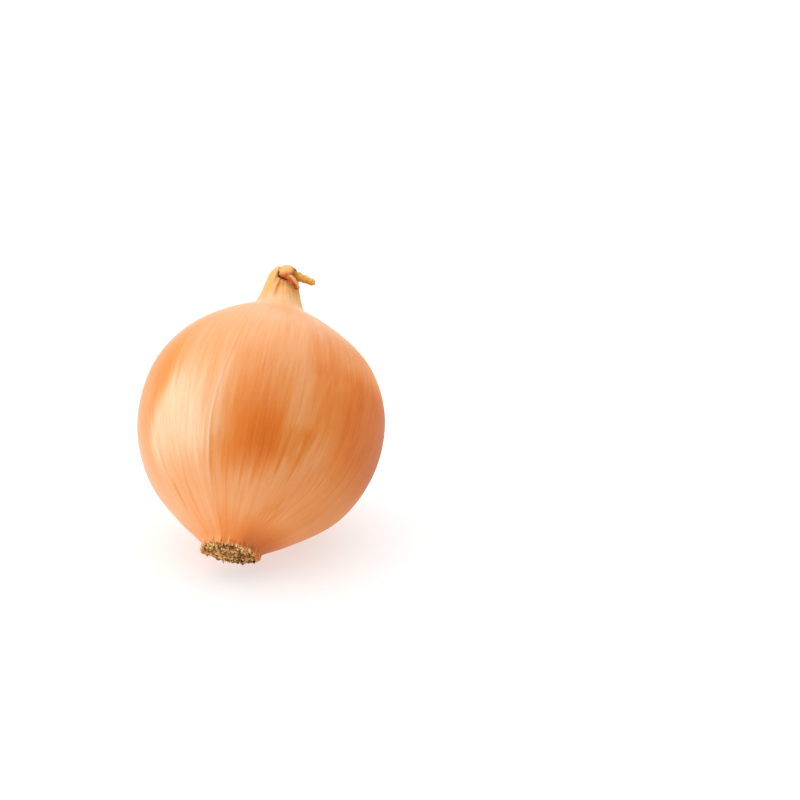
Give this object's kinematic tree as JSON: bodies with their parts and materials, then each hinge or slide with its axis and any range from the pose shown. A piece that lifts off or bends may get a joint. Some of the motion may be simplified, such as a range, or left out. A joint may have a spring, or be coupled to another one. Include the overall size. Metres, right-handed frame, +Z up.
{
  "type": "onion",
  "caption": "Round brown-skinned onion lying on its flank, with a dried pleated neck and a trimmed root plate.",
  "frame": {"origin": "centre of the small flat spot on the bulb's flank that the onion rests on", "axes": "+Z up; the stem axis lies in the YZ plane and leans 47.6 degrees from +Z towards +Y, so the root end is low towards -Y and the neck is high towards +Y"},
  "size_m": [0.0803, 0.0835, 0.0807],
  "materials": {
    "dry_skin": "satin papery skin, golden orange with fine veins",
    "dried_root": "dull, matted and fibrous, tan to dark brown",
    "dried_leaf": "dull papery leaf, golden to rust brown"
  },
  "bodies": {
    "root": {"bulb": "dry_skin", "root_plate": "dried_root", "leaf_ends": "dried_leaf"}
  },
  "joints": []
}
